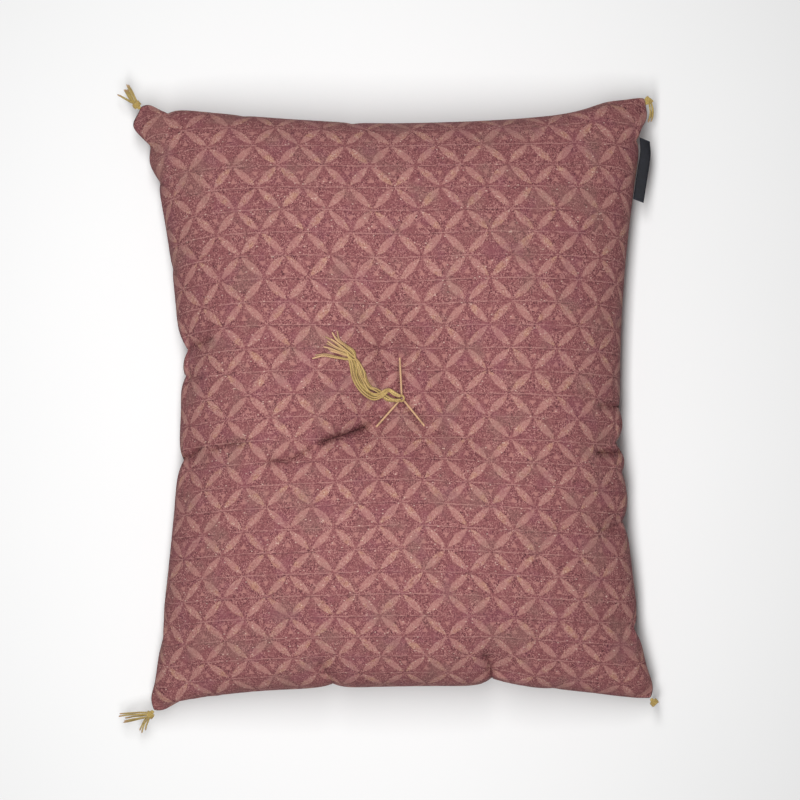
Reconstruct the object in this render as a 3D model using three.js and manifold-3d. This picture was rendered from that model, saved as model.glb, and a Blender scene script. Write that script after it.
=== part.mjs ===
// A zabuton: a filled floor cushion made of two panels sewn edge to edge, tied down at its middle by a
// three-armed stitch of thick thread that ends in a tassel, with a tuft of the same thread at each corner
// and a plain woven tab caught in the right side seam.
// Millimetres, +Z up. The cushion lies on its back on z = 0 with its long sides along Y.
import * as THREE from 'three';
import { mergeGeometries, mergeVertices } from 'three/addons/utils/BufferGeometryUtils.js';
import { ParametricGeometry } from 'three/addons/geometries/ParametricGeometry.js';
import Module from 'manifold-3d';

const wasm = await Module();
wasm.setup();

// Corner tips in plan, before they are rounded, measured from the middle of the cushion.
const CORNERS = {
  bottomLeft: { x: -236, y: -299 },
  bottomRight: { x: 249, y: -290 },
  topLeft: { x: -250, y: 289 },
  topRight: { x: 246, y: 293 },
};

// Each side runs between two corners and draws in by its sag at the middle. A high power keeps that half of
// the side drawn in for longer before it runs out to its corner.
const SIDES = {
  bottom: { from: 'bottomLeft', to: 'bottomRight', inX: 0, inY: 1, sag: 23, firstPower: 4, lastPower: 2.7 },
  top: { from: 'topLeft', to: 'topRight', inX: 0, inY: -1, sag: 23, firstPower: 1.7, lastPower: 2.6 },
  left: { from: 'bottomLeft', to: 'topLeft', inX: 1, inY: 0, sag: 38, firstPower: 1.3, lastPower: 2.3 },
  right: { from: 'bottomRight', to: 'topRight', inX: -1, inY: 0, sag: 32, firstPower: 1.7, lastPower: 2.0 },
};

// Tucks and swellings of the sewn edge. "at" is measured along the side from its middle towards its second
// corner, "depth" goes inwards, "run" is how far the form reaches into the panel and "trough" how deep its
// crease is there, at that share of the run from the edge.
const EDGE_FORMS = [
  { side: 'left', at: 53, depth: 8, width: 15, run: 34, trough: 9 },
  { side: 'left', at: -54, depth: 4, width: 12, run: 48, trough: 8 },
  { side: 'left', at: -216, depth: 3, width: 14, run: 26, trough: 4 },
  { side: 'left', at: 272, depth: -7, width: 13, run: 22, trough: 0 },
  { side: 'left', at: -280, depth: -4, width: 12, run: 22, trough: 0 },
  { side: 'right', at: 258, depth: 4, width: 12, run: 24, trough: 4 },
  { side: 'right', at: -38, depth: 4, width: 12, run: 44, trough: 6 },
  { side: 'right', at: -114, depth: 4, width: 12, run: 32, trough: 5 },
  { side: 'right', at: -212, depth: 5, width: 13, run: 36, trough: 6 },
  { side: 'right', at: -276, depth: -5, width: 16, run: 22, trough: 0 },
  { side: 'top', at: -218, depth: 4, width: 13, run: 34, trough: 5 },
  { side: 'top', at: 208, depth: -7, width: 24, run: 34, trough: 0 },
  { side: 'bottom', at: -66, depth: 4, width: 12, run: 38, trough: 6 },
  { side: 'bottom', at: 96, depth: 9, width: 15, run: 46, trough: 10 },
  { side: 'bottom', at: -206, depth: 3, width: 14, run: 34, trough: 5 },
  { side: 'bottom', at: -232, depth: -5, width: 13, run: 22, trough: 0 },
];
const troughShare = 0.45;
const cornerRounding = { reach: 26, pull: 5 };

// Heights: the sewn edge above the floor, the crown above it and the belly below it. A low power of the
// fullness makes a panel steep near its edge and flat over its middle.
const seamHeight = { corner: 34, middle: 48, power: 2.5 };
const crown = { rise: 86, acrossPower: 0.55, alongPower: 0.35 };
const belly = { fall: 62, acrossPower: 0.5, alongPower: 0.5 };

// Troughs and funnels fade out towards the sewn edge, and are whole where this profile reaches 1.
const edgeFade = { steepness: 3, acrossPower: 0.5, alongPower: 0.5 };

// Where the stitch ties the cushion down, and the funnels it makes in the crown and in the underside.
const tie = { x: 6.5, y: 4.8 };
const crownFunnel = { depth: 60, radius: 78, power: 1.5 };
const bellyFunnel = { depth: 36, radius: 60, power: 2 };
const ARMS = [
  { heading: 93, length: 36.5 },
  { heading: 228.5, length: 35 },
  { heading: 309, length: 32.5 },
];
const armPit = { depth: 5, radius: 12 };

// Creases of the crown that run from the tie towards the sides, with their depth at each end.
const CREASES = [
  { fromX: -17, fromY: -22, toX: -91, toY: -50, depth: 11, endDepth: 6, width: 15 },
  { fromX: -91, fromY: -50, toX: -196, toY: -54, depth: 6, endDepth: 4, width: 17 },
  { fromX: 27, fromY: -21, toX: 82, toY: -36, depth: 9, endDepth: 5, width: 17 },
  { fromX: 82, fromY: -36, toX: 200, toY: -40, depth: 5, endDepth: 3, width: 19 },
  { fromX: 4, fromY: 42, toX: -44, toY: 116, depth: 9, endDepth: 1, width: 20 },
];

// The grid of the two panels, crowded towards the tie and towards the sewn edge.
const grid = { across: 40, along: 48, crowding: 0.25 };

// Thick twisted thread of the stitch, the tassel and the tufts. It rests on the highest point of the crown
// within "feel" of its middle.
const thread = { thickness: 1.7, clearance: 0.5, feel: 1.2, lanePitch: 2.4, layerPitch: 2.3, step: 4.5 };
const hub = { radius: 2.4, height: 2.2, lift: 0.5 };
const knotFacets = { around: 10, upright: 7 };

// The tassel lies on the crown in an S, from its knot to a neck past which its strands fan out. Their ends
// are cut unevenly, and the fan's power leaves more of them near its first side.
const tassel = {
  knot: { length: 8, width: 8, height: 5.5, layerPitch: 1.2 },
  lanes: 4,
  layers: 3,
  length: 105,
  uneven: { by: 4, turnPerStrand: 2.4 },
  liftOff: 15,
  settleAfter: 20,
  widest: { at: 44, pitch: 3.4, spread: 20 },
  fan: { first: -6, last: 54, power: 1.3, turnWithin: 24 },
};
const TASSEL_ROUTE = [
  { x: 2.9, y: 4.8 },
  { x: -9.8, y: 9.3 },
  { x: -19.5, y: 6.8 },
  { x: -27.5, y: 10.5 },
  { x: -32.5, y: 20.5 },
  { x: -36, y: 31 },
  { x: -40.5, y: 41 },
];

// Corner tufts: one knot at each corner, and bundles of strands that leave it along a heading in plan and a
// dip below level, both turning on the way. "fan" is the angle between neighbouring strands, which are cut
// to a few lengths, each shorter by that share.
const tuftKnot = { length: 7, width: 9, height: 7, seat: 0.35 };
const tuftCut = { lengths: 3, shorterBy: 0.08, stride: 2 };
const TUFTS = [
  { corner: 'topLeft', strands: 5, heading: 124, turn: -4, dip: 8, droop: 26, length: 25, fan: 3 },
  { corner: 'topLeft', strands: 2, heading: 152, turn: -8, dip: 10, droop: 24, length: 26, fan: 5 },
  { corner: 'bottomLeft', strands: 5, heading: 188, turn: 6, dip: 8, droop: 26, length: 34, fan: 3 },
  { corner: 'bottomLeft', strands: 3, heading: 236, turn: 16, dip: 12, droop: 30, length: 25, fan: 9 },
  { corner: 'topRight', strands: 6, heading: -56, turn: -44, dip: 20, droop: 46, length: 27, fan: 5 },
  { corner: 'bottomRight', strands: 6, heading: -48, turn: -6, dip: 68, droop: 22, length: 24, fan: 6 },
];

// The folded tab in the right side seam, from its lower to its upper end along the side.
const tab = { from: 195, to: 254, reach: 10.6, thickness: 1.4, gap: 0.45, slant: 3, pieces: 8 };

const FINISHES = {
  cover: { color: 0x9a6a68, roughness: 0.9 },
  thread: { color: 0xb49c5f, roughness: 0.8 },
  tab: { color: 0x2b2d3a, roughness: 0.7 },
};

const degrees = Math.PI / 180;
const mergeWithin = 1e-3;
const clampUnit = (value) => Math.max(-1, Math.min(1, value));
const bump = (distance, width) => Math.exp(-((distance / width) ** 2));
const sideLength = ({ from, to }) =>
  Math.hypot(CORNERS[to].x - CORNERS[from].x, CORNERS[to].y - CORNERS[from].y);

// A point of a side's drawn-in edge, for a share 0 to 1 of the way between its corners.
function edgePoint(side, share) {
  const { from, to, inX, inY, sag, firstPower, lastPower } = side;
  const fromMiddle = 2 * share - 1;
  const power = fromMiddle < 0 ? firstPower : lastPower;
  const drawnIn = sag * (1 - Math.abs(fromMiddle) ** power);
  return new THREE.Vector2(
    THREE.MathUtils.lerp(CORNERS[from].x, CORNERS[to].x, share) + drawnIn * inX,
    THREE.MathUtils.lerp(CORNERS[from].y, CORNERS[to].y, share) + drawnIn * inY,
  );
}

// The plan position of a grid point: the four drawn-in sides blended over the panel.
function blendSides(u, v) {
  const { bottomLeft, bottomRight, topLeft, topRight } = CORNERS;
  const point = edgePoint(SIDES.bottom, u).multiplyScalar(1 - v);
  point.addScaledVector(edgePoint(SIDES.top, u), v);
  point.addScaledVector(edgePoint(SIDES.left, v), 1 - u);
  point.addScaledVector(edgePoint(SIDES.right, v), u);
  point.addScaledVector(bottomLeft, -(1 - u) * (1 - v));
  point.addScaledVector(bottomRight, -u * (1 - v));
  point.addScaledVector(topLeft, -(1 - u) * v);
  point.addScaledVector(topRight, -u * v);
  return point;
}

// How far a grid point lies inside a side, and how far along that side from its middle.
function placeAtSide(name, u, v) {
  const along = name === 'bottom' || name === 'top' ? u : v;
  const inside = { bottom: v, top: 1 - v, left: u, right: 1 - u }[name];
  const across = name === 'bottom' || name === 'top' ? SIDES.left : SIDES.bottom;
  return { along: (along - 0.5) * sideLength(SIDES[name]), inside: inside * sideLength(across) };
}

// Tucks and swellings move the edge in plan, and the corner tips are drawn back a little.
function planPoint(u, v) {
  const point = blendSides(u, v);
  for (const { side, at, depth, width, run } of EDGE_FORMS) {
    const { along, inside } = placeAtSide(side, u, v);
    const push = depth * bump(along - at, width) * Math.exp(-inside / run);
    point.x += push * SIDES[side].inX;
    point.y += push * SIDES[side].inY;
  }
  for (const corner of Object.values(CORNERS)) {
    const distance = Math.hypot(point.x - corner.x, point.y - corner.y);
    const near = Math.max(0, 1 - distance / cornerRounding.reach) ** 2;
    const back = (cornerRounding.pull * near) / Math.hypot(corner.x, corner.y);
    point.x -= corner.x * back;
    point.y -= corner.y * back;
  }
  return point;
}

// The filled profile over the panel: 0 at the sewn edge, 1 at the middle.
function fullnessAt(u, v, { acrossPower, alongPower }) {
  const across = clampUnit(2 * u - 1);
  const along = clampUnit(2 * v - 1);
  return (1 - across ** 2) ** acrossPower * (1 - along ** 2) ** alongPower;
}

// 0 on the sewn edge and 1 a little way inside it, so that troughs and funnels leave the edge as it is.
function insideEdge(u, v) {
  return Math.min(1, edgeFade.steepness * fullnessAt(u, v, edgeFade));
}

function seamHeightAt(u, v) {
  const { corner, middle, power } = seamHeight;
  const towardsCorner = Math.abs((2 * u - 1) * (2 * v - 1)) ** power;
  return THREE.MathUtils.lerp(middle, corner, towardsCorner);
}

// How far a crease lowers the crown at a point of the plan.
function creaseDepth({ fromX, fromY, toX, toY, depth, endDepth, width }, point) {
  const run = new THREE.Vector2(toX - fromX, toY - fromY);
  const offset = new THREE.Vector2(point.x - fromX, point.y - fromY);
  const share = THREE.MathUtils.clamp(offset.dot(run) / run.lengthSq(), 0, 1);
  const distance = offset.addScaledVector(run, -share).length();
  return THREE.MathUtils.lerp(depth, endDepth, share) * bump(distance, width);
}

const armEnd = ({ heading, length }) =>
  new THREE.Vector2(
    tie.x + length * Math.cos(heading * degrees),
    tie.y + length * Math.sin(heading * degrees),
  );

function crownHeightAt(u, v, point) {
  const full = fullnessAt(u, v, crown);
  const fromTie = Math.hypot(point.x - tie.x, point.y - tie.y);
  let lowered = crownFunnel.depth * Math.exp(-((fromTie / crownFunnel.radius) ** crownFunnel.power));
  for (const arm of ARMS) lowered += armPit.depth * bump(point.distanceTo(armEnd(arm)), armPit.radius);
  for (const crease of CREASES) lowered += creaseDepth(crease, point);
  for (const { side, at, width, run, trough } of EDGE_FORMS) {
    const { along, inside } = placeAtSide(side, u, v);
    const reached = inside / (troughShare * run);
    lowered += trough * bump(along - at, width) * (reached * Math.exp(1 - reached)) ** 2;
  }
  return seamHeightAt(u, v) + crown.rise * full - insideEdge(u, v) * lowered;
}

function bellyHeightAt(u, v, point) {
  const fromTie = Math.hypot(point.x - tie.x, point.y - tie.y);
  const raised = bellyFunnel.depth * Math.exp(-((fromTie / bellyFunnel.radius) ** bellyFunnel.power));
  const hanging = seamHeightAt(u, v) - belly.fall * fullnessAt(u, v, belly);
  return Math.max(0, hanging + insideEdge(u, v) * raised);
}

// The share of a panel's width or length at an even grid share, crowded at the middle and at the edge.
function crowded(share) {
  const fromMiddle = 2 * share - 1;
  const shift = (grid.crowding * Math.sin(2 * Math.PI * fromMiddle)) / (2 * Math.PI);
  return (clampUnit(fromMiddle - shift) + 1) / 2;
}

function placePanelPoint(heightAt, acrossShare, alongShare, target) {
  const u = crowded(acrossShare);
  const v = crowded(alongShare);
  const point = planPoint(u, v);
  target.set(point.x, point.y, heightAt(u, v, point));
}

// A panel as a grid of cells whose diagonals point towards the nearest corner, so that no corner is cut off.
function panelGeometry(surface, slices, stacks) {
  const geometry = new ParametricGeometry(surface, slices, stacks);
  for (let row = 0; row < stacks; row += 1) {
    for (let column = 0; column < slices; column += 1) {
      if ((column < slices / 2) !== (row < stacks / 2)) continue;
      const first = 6 * (row * slices + column);
      const [a, b, d, , c] = [0, 1, 2, 3, 4].map((offset) => geometry.index.getX(first + offset));
      [a, b, c, a, c, d].forEach((vertex, offset) => geometry.index.setX(first + offset, vertex));
    }
  }
  return geometry;
}

// The crown's grid runs across and then along, and the belly's along and then across, so it faces down.
function crownGeometry() {
  const surface = (across, along, target) => placePanelPoint(crownHeightAt, across, along, target);
  return panelGeometry(surface, grid.across, grid.along);
}

function bellyGeometry() {
  const surface = (along, across, target) => placePanelPoint(bellyHeightAt, across, along, target);
  return panelGeometry(surface, grid.along, grid.across);
}

// A geometry with nothing but its positions, and with its shared vertices merged.
function bareGeometry(geometry) {
  const bare = geometry.clone();
  bare.deleteAttribute('normal');
  bare.deleteAttribute('uv');
  return mergeVertices(bare, mergeWithin);
}

// Several closed geometries that overlap, joined into one.
function joinedGeometry(geometries) {
  const solids = geometries.map((geometry) => {
    const { attributes, index } = bareGeometry(geometry);
    const triVerts = new Uint32Array(index.array);
    return new wasm.Manifold(
      new wasm.Mesh({ numProp: 3, vertProperties: attributes.position.array, triVerts }),
    );
  });
  const mesh = solids.reduce((whole, solid) => whole.add(solid)).getMesh();
  const joined = new THREE.BufferGeometry();
  joined.setAttribute('position', new THREE.BufferAttribute(mesh.vertProperties, 3));
  joined.setIndex(new THREE.BufferAttribute(mesh.triVerts, 1));
  joined.computeVertexNormals();
  return joined;
}

function namedMesh(name, geometry, finish) {
  const mesh = new THREE.Mesh(geometry, new THREE.MeshStandardMaterial({ ...finish, metalness: 0 }));
  mesh.name = name;
  return mesh;
}

function cushionMesh() {
  const geometry = bareGeometry(mergeGeometries([crownGeometry(), bellyGeometry()]));
  geometry.computeVertexNormals();
  return namedMesh('cushion', geometry, FINISHES.cover);
}

// A function that gives the height at which the middle of a thread rests on a mesh at a point of the plan,
// clear of the highest point under its section.
function restFinder(mesh) {
  const top = 1000;
  const caster = new THREE.Raycaster();
  const down = new THREE.Vector3(0, 0, -1);
  const surfaceAt = (x, y) => {
    caster.set(new THREE.Vector3(x, y, top), down);
    return caster.intersectObject(mesh)[0].point.z;
  };
  const { feel } = thread;
  return (x, y) => {
    const under = [surfaceAt(x, y)];
    under.push(surfaceAt(x - feel, y), surfaceAt(x + feel, y));
    under.push(surfaceAt(x, y - feel), surfaceAt(x, y + feel));
    return Math.max(...under) + thread.clearance + thread.thickness / 2;
  };
}

// A strand of thread with a square section along a list of points.
function strandGeometry(points) {
  const half = thread.thickness / 2;
  const section = new THREE.Shape([
    new THREE.Vector2(-half, -half),
    new THREE.Vector2(half, -half),
    new THREE.Vector2(half, half),
    new THREE.Vector2(-half, half),
  ]);
  const extrudePath = new THREE.CatmullRomCurve3(points);
  return new THREE.ExtrudeGeometry(section, {
    steps: points.length - 1,
    extrudePath,
    bevelEnabled: false,
  });
}

function knotGeometry({ length, width, height }) {
  const { around, upright } = knotFacets;
  return new THREE.SphereGeometry(0.5, around, upright).scale(length, width, height);
}

// The three arms of the stitch lie on the crown and meet in a small hub.
function centreStitchMesh(restAt) {
  const pieces = ARMS.map((arm) => {
    const end = armEnd(arm);
    const count = Math.ceil(arm.length / thread.step);
    const points = Array.from({ length: count + 1 }, (_, i) => {
      const x = THREE.MathUtils.lerp(tie.x, end.x, i / count);
      const y = THREE.MathUtils.lerp(tie.y, end.y, i / count);
      return new THREE.Vector3(x, y, restAt(x, y));
    });
    return strandGeometry(points);
  });
  const hubGeometry = knotGeometry({ length: 2 * hub.radius, width: 2 * hub.radius, height: hub.height });
  hubGeometry.translate(tie.x, tie.y, restAt(tie.x, tie.y) + hub.lift);
  pieces.push(hubGeometry);
  return namedMesh('centre_stitch', joinedGeometry(pieces), FINISHES.thread);
}

// The distance between lanes along the tassel: tied close, looser in the middle, close at the neck.
function lanePitchAt(distance) {
  const { at, pitch, spread } = tassel.widest;
  return thread.lanePitch + (pitch - thread.lanePitch) * bump(distance - at, spread);
}

// One strand of the tassel, followed step by step along the route and then out along its own heading.
function tasselStrand(rank, route, knotHeight, restAt) {
  const strands = tassel.lanes * tassel.layers;
  const layer = rank % tassel.layers;
  const lane = (rank - (strands - 1) / 2) / tassel.layers;
  const share = rank / (strands - 1);
  const { first, last, power, turnWithin } = tassel.fan;
  const turn = THREE.MathUtils.lerp(first, last, share ** power) * degrees;
  const neck = route.getLength();
  const length = tassel.length + tassel.uneven.by * Math.sin(tassel.uneven.turnPerStrand * rank);
  const count = Math.round(length / thread.step);
  const tangent = route.getTangentAt(1);
  const neckHeading = Math.atan2(tangent.y, tangent.x);
  const points = [];
  let free = null;
  for (let i = 0; i <= count; i += 1) {
    const distance = (length * i) / count;
    let position;
    if (distance <= neck) {
      const along = route.getTangentAt(distance / neck);
      const offset = lane * lanePitchAt(distance);
      position = route.getPointAt(distance / neck);
      position.add(new THREE.Vector3(-along.y, along.x, 0).multiplyScalar(offset));
    } else {
      const turned = turn * Math.min(1, (distance - neck) / turnWithin);
      const advance = length / count;
      position = free.clone();
      position.x += advance * Math.cos(neckHeading + turned);
      position.y += advance * Math.sin(neckHeading + turned);
    }
    free = position;
    const spreadOut = THREE.MathUtils.smoothstep(distance, neck + tassel.settleAfter, length);
    const onCrown = restAt(position.x, position.y) + layer * thread.layerPitch * (1 - spreadOut);
    const liftedOff = THREE.MathUtils.smoothstep(distance, 0, tassel.liftOff);
    const atKnot = knotHeight + (layer - (tassel.layers - 1) / 2) * tassel.knot.layerPitch;
    points.push(new THREE.Vector3(position.x, position.y, THREE.MathUtils.lerp(atKnot, onCrown, liftedOff)));
  }
  return strandGeometry(points);
}

function centreTasselMesh(restAt) {
  const route = new THREE.CatmullRomCurve3(TASSEL_ROUTE.map(({ x, y }) => new THREE.Vector3(x, y, 0)));
  const { height } = tassel.knot;
  const hubTop = restAt(tie.x, tie.y) + hub.lift + hub.height / 2;
  const knotHeight = hubTop + height / 2 + thread.clearance;
  const knot = knotGeometry(tassel.knot).translate(tie.x, tie.y, knotHeight);
  const pieces = [knot];
  for (let rank = 0; rank < tassel.lanes * tassel.layers; rank += 1) {
    pieces.push(tasselStrand(rank, route, knotHeight, restAt));
  }
  return namedMesh('centre_tassel', joinedGeometry(pieces), FINISHES.thread);
}

// A strand of a corner tuft, in the frame of its knot.
function tuftStrand(row, index) {
  const lanes = Math.ceil(row.strands / 2);
  const layer = index < lanes ? 0 : 1;
  const inLayer = layer === 0 ? lanes : row.strands - lanes;
  const lane = (layer === 0 ? index : index - lanes) - (inLayer - 1) / 2;
  const length = row.length * (1 - tuftCut.shorterBy * ((index * tuftCut.stride) % tuftCut.lengths));
  const count = Math.round(length / thread.step);
  const side = (row.heading + 90) * degrees;
  const position = new THREE.Vector3(Math.cos(side), Math.sin(side), 0);
  position.multiplyScalar(lane * thread.lanePitch);
  position.z = (layer - 0.5) * thread.layerPitch;
  const points = [position.clone()];
  for (let i = 0; i < count; i += 1) {
    const share = (i + 0.5) / count;
    const heading = (row.heading + row.turn * share + row.fan * lane) * degrees;
    const dip = (row.dip + row.droop * share - row.fan * (layer - 0.5)) * degrees;
    const advance = length / count;
    position.x += advance * Math.cos(dip) * Math.cos(heading);
    position.y += advance * Math.cos(dip) * Math.sin(heading);
    position.z -= advance * Math.sin(dip);
    points.push(position.clone());
  }
  return strandGeometry(points);
}

function tuftMesh(name, cornerName) {
  const corner = CORNERS[cornerName];
  const u = corner.x > 0 ? 1 : 0;
  const v = corner.y > 0 ? 1 : 0;
  const tip = planPoint(u, v);
  const outward = new THREE.Vector2(corner.x, corner.y).normalize();
  const heading = Math.atan2(outward.y, outward.x);
  const knot = knotGeometry(tuftKnot).rotateZ(heading);
  const pieces = [knot];
  for (const row of TUFTS.filter((candidate) => candidate.corner === cornerName)) {
    for (let index = 0; index < row.strands; index += 1) pieces.push(tuftStrand(row, index));
  }
  const mesh = namedMesh(name, joinedGeometry(pieces), FINISHES.thread);
  const centre = tip.addScaledVector(outward, tuftKnot.length / 2 + tuftKnot.seat);
  mesh.position.set(centre.x, centre.y, seamHeightAt(u, v));
  return mesh;
}

// The tab follows the sewn edge and stands out from it, its ends cut a little on the slant.
function tabMesh() {
  const side = SIDES.right;
  const length = sideLength(side);
  const edge = Array.from({ length: tab.pieces + 1 }, (_, i) => {
    const along = THREE.MathUtils.lerp(tab.from, tab.to, i / tab.pieces);
    return planPoint(1, along / length + 0.5);
  });
  const run = edge[tab.pieces].clone().sub(edge[0]).normalize();
  const outward = new THREE.Vector2(run.y, -run.x);
  const inner = edge.map((point) => point.clone().addScaledVector(outward, tab.gap));
  const outer = [inner[tab.pieces], inner[0]].map((point) =>
    point.clone().addScaledVector(outward, tab.reach).addScaledVector(run, -tab.slant),
  );
  const geometry = new THREE.ExtrudeGeometry(new THREE.Shape([...inner, ...outer]), {
    depth: tab.thickness,
    bevelEnabled: false,
  });
  const mesh = namedMesh('label', geometry, FINISHES.tab);
  const middleShare = (tab.from + tab.to) / 2 / length + 0.5;
  mesh.position.z = seamHeightAt(1, middleShare) - tab.thickness / 2;
  return mesh;
}

const cushion = cushionMesh();
const restAt = restFinder(cushion);
const zabuton = new THREE.Group();
zabuton.add(
  cushion,
  centreStitchMesh(restAt),
  centreTasselMesh(restAt),
  tuftMesh('corner_tuft_top_left', 'topLeft'),
  tuftMesh('corner_tuft_top_right', 'topRight'),
  tuftMesh('corner_tuft_bottom_left', 'bottomLeft'),
  tuftMesh('corner_tuft_bottom_right', 'bottomRight'),
  tabMesh(),
);

// The origin lies on the floor under the middle of everything that is built.
const middle = new THREE.Box3().setFromObject(zabuton, true).getCenter(new THREE.Vector3());
zabuton.position.set(-middle.x, -middle.y, 0);
const part = new THREE.Group();
part.add(zabuton);

export default part;
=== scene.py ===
"""Looks of the zabuton: its filled cover, the tied middle with a tassel, the corner tufts and the tab.

Sizes are in millimetres in the plan frame, whose origin is near the middle of the cushion, and turn into
metres in the row frame when a mesh is made. The crown faces +Z and the long sides run along Y.
"""

import math

import bpy
import numpy as np
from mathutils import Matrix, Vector
from mathutils.bvhtree import BVHTree


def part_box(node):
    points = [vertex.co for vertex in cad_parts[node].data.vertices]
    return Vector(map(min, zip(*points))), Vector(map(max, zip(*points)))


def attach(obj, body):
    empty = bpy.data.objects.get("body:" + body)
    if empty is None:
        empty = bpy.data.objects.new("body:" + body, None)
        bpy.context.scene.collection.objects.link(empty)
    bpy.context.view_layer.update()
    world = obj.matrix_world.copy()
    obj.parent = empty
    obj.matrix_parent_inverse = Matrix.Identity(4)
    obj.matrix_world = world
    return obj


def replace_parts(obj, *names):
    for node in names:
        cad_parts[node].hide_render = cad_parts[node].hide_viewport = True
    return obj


MM = 0.001


def colour(red, green, blue):
    """A linear colour from the 0 to 255 values of a screen."""
    shares = [value / 255 for value in (red, green, blue)]
    return (*[s / 12.92 if s <= 0.04045 else ((s + 0.055) / 1.055) ** 2.4 for s in shares], 1)


# Corner tips in plan, before they are rounded.
CORNERS = {
    "bottom_left": (-236, -299),
    "bottom_right": (249, -290),
    "top_left": (-250, 289),
    "top_right": (246, 293),
}

# Each side: its two corners, the way inwards, how far it draws in and the powers of its two halves.
SIDES = {
    "bottom": ("bottom_left", "bottom_right", (0, 1), 23, (4, 2.7)),
    "top": ("top_left", "top_right", (0, -1), 23, (1.7, 2.6)),
    "left": ("bottom_left", "top_left", (1, 0), 38, (1.3, 2.3)),
    "right": ("bottom_right", "top_right", (-1, 0), 32, (1.7, 2.0)),
}


# Tucks and swellings of the sewn edge by side: place along it, depth inwards, width, run and trough.
EDGE_FORMS = {
    "left": [
        (55, 5, 15, 34, 9), (29, 2, 8, 20, 5), (-51, 2, 12, 48, 8), (-216, 3, 14, 26, 4),
        (272, -7, 13, 22, 0), (-280, -4, 12, 22, 0),
    ],
    "right": [
        (258, 4, 12, 24, 4), (-40, 2, 12, 44, 6), (-115, 2, 12, 32, 5), (-216, 3, 13, 36, 6),
        (-276, -5, 16, 22, 0),
    ],
    "top": [(-218, 2, 13, 34, 5), (208, -7, 24, 34, 0)],
    "bottom": [(-67, 2, 12, 38, 6), (94, 6, 17, 46, 10), (-206, 3, 14, 34, 5), (-232, -5, 13, 22, 0)],
}
TROUGH_REACH = 0.45

# Sharp notches where the seam gathers, and rounded swellings between them with a depth below zero, by side:
# place, depth and width.
CUSPS = {
    "left": [
        (55.5, 5.0, 5.5), (30, 4.0, 5.5), (-50.5, 4.0, 6.5), (253, 5.0, 5), (270, -4.5, 13),
        (235, -3.0, 11), (217, 4.0, 5), (134, 1.6, 5),
    ],
    "right": [
        (252, 3.5, 5), (270, -3.5, 12), (-40, 4.6, 5), (-23, -2.2, 11), (-55, -2.4, 10),
        (-92, -2.6, 20), (-68, 2.0, 4), (-6, 1.8, 4), (-115, 4.4, 5.5), (-219, 4.4, 6),
    ],
    "top": [(-218, 4.6, 5), (-237, -3.6, 11), (-146, 1.2, 5), (-40, 1.6, 6), (243, -5.5, 16)],
    "bottom": [(-67, 3.0, 7), (87.5, 5.0, 5.5), (148, 1.4, 6)],
}
CUSP_RUN = 16
CORNER_REACH = 26
CORNER_PULL = 5

# Heights of the sewn edge, the crown and the belly. A low power of the fullness, across or along, makes a
# panel steep near its edge and flat over its middle.
SEAM_CORNER = 34
SEAM_MIDDLE = 48
SEAM_POWER = 2.5
CROWN_RISE = 86
CROWN_POWERS = (0.55, 0.35)
BELLY_FALL = 62
BELLY_POWERS = (0.5, 0.5)

# Troughs and funnels fade out towards the sewn edge, and are whole where this profile reaches 1.
EDGE_FADE = 3
EDGE_POWERS = (0.5, 0.5)

# The tie and the funnels that it draws in the crown and the belly: depth, radius and power. The stitch's
# arms run from the tie: heading in degrees and length. A pit lies at each end: depth and width.
TIE = (6.5, 4.8)
CROWN_FUNNEL = (60, 78, 1.5)
BELLY_FUNNEL = (36, 60, 2)
ARMS = [(93, 36.5), (228.5, 35), (309, 32.5)]
ARM_PIT = (5, 12)

# Creases of the crown: both ends, the depth at each and the width.
CREASES = [
    ((-17, -22), (-91, -50), 11, 6, 15),
    ((-91, -50), (-196, -54), 6, 4, 17),
    ((27, -21), (82, -36), 9, 5, 17),
    ((82, -36), (200, -40), 5, 3, 19),
    ((4, 42), (-44, 116), 9, 1, 20),
]

# The cut panels and the cells of cloth across and along them.
CLOTH_WIDTH = 500
CLOTH_LENGTH = 600
CELLS_ACROSS = 100
CELLS_ALONG = 120

# Millimetres by which the weave runs off straight, for each pair of powers of the place across and along.
DRIFT_ACROSS = {(3, 0): -13.9, (1, 2): 17.5, (0, 3): 6.5, (1, 1): -5.4, (0, 2): 2.7}
DRIFT_ALONG = {(2, 0): 11.6, (2, 1): -11.8, (0, 2): -5.4, (1, 1): -3.3}
EVEN_SAMPLES = 601
OUTLINE_SAMPLES = 801

# Cloth settling: frames to fill the cut panels and to settle, how firmly each point is held to the filled
# form, and how far in millimetres it may end up from it.
FILL_FRAMES = 8
SETTLE_FRAMES = 12
HOLD_SEAM = 1.0
HOLD_PANEL = 0.5
SETTLE_CAP = 6
CLOTH_SETTINGS = {
    "quality": 6,
    "mass": 0.001,
    "tension_stiffness": 40,
    "compression_stiffness": 4,
    "shear_stiffness": 13,
    "bending_stiffness": 40,
    "bending_damping": 0.5,
    "use_pressure": True,
    "uniform_pressure_force": 3,
    "pin_stiffness": 5,
}

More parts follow.
